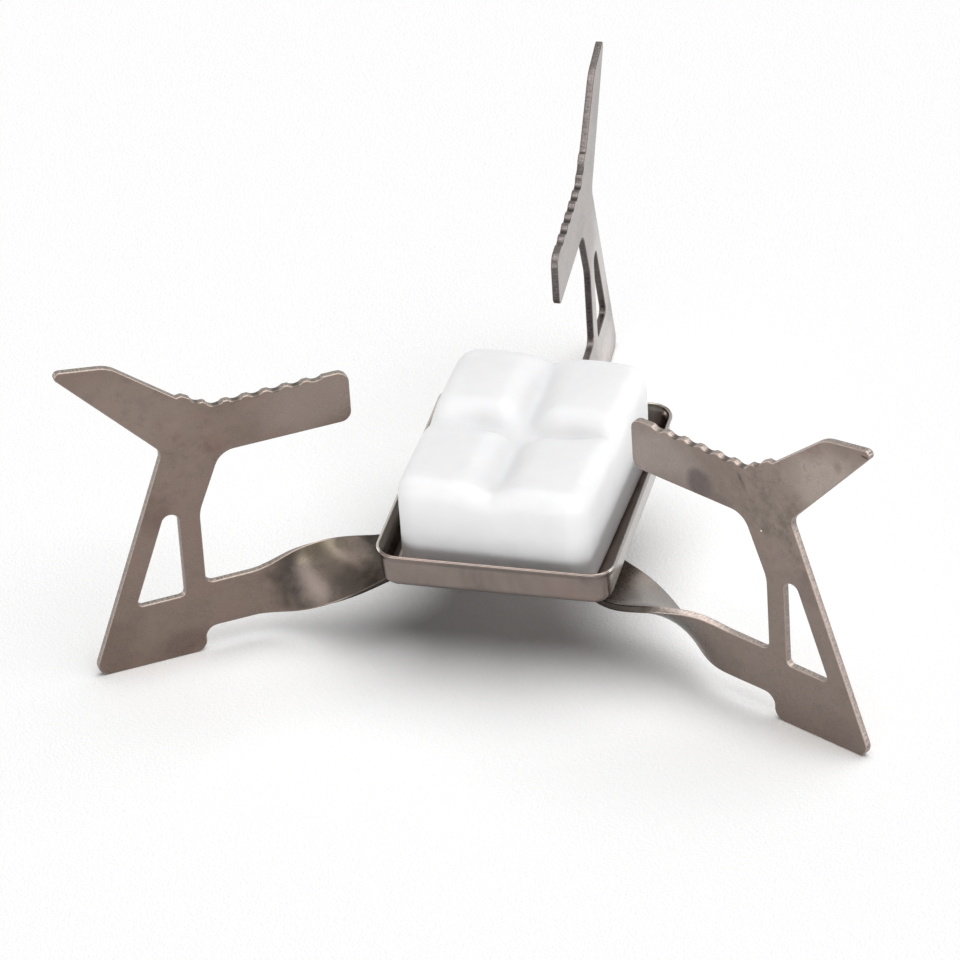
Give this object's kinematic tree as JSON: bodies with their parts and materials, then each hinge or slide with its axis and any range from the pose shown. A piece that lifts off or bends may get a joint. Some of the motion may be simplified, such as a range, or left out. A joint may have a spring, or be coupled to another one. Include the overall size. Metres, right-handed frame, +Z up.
{
  "type": "folding solid fuel stove",
  "caption": "Pocket stove: a pressed tray for one solid fuel block on three stamped sheet legs that swing on a rivet and hold the pot on their teeth.",
  "frame": {"origin": "on the ground, at the middle of the box that the open stove fills", "axes": "+Z up, +Y towards the rear leg and along the tray's length, +X across the tray to the right seen from the front"},
  "size_m": [0.1122, 0.096, 0.0507],
  "materials": {
    "tray_titanium": "mill-finish titanium sheet, satin",
    "leg_titanium": "tumbled titanium sheet, satin, slightly mottled",
    "rivet_steel": "plain stainless steel",
    "fuel": "pressed white fuel tablet, matt and waxy"
  },
  "bodies": {
    "tray": {"tray": "tray_titanium", "pivot_rivet": "rivet_steel", "tray_washer": "rivet_steel", "lower_washer": "rivet_steel"},
    "left_leg": {"left_leg": "leg_titanium"},
    "rear_leg": {"rear_leg": "leg_titanium"},
    "right_leg": {"right_leg": "leg_titanium"},
    "fuel_block": {"fuel_block": "fuel"}
  },
  "joints": [
    {"name": "left_leg_swing", "type": "hinge", "parent": "tray", "child": "left_leg", "pos_m": [0.00047, -0.01581, 0.0116], "axis": [0, 0, 1], "range_deg": [-60, 12]},
    {"name": "rear_leg_swing", "type": "hinge", "parent": "left_leg", "child": "rear_leg", "pos_m": [0.00047, -0.01581, 0.01055], "axis": [0, 0, 1], "range_deg": [-40, 100]},
    {"name": "right_leg_swing", "type": "hinge", "parent": "rear_leg", "child": "right_leg", "pos_m": [0.00047, -0.01581, 0.0095], "axis": [0, 0, 1], "range_deg": [-40, 115]},
    {"name": "fuel_block_lift", "type": "slide", "parent": "tray", "child": "fuel_block", "axis": [0, 0, 1], "range_m": [0, 0.06]}
  ]
}
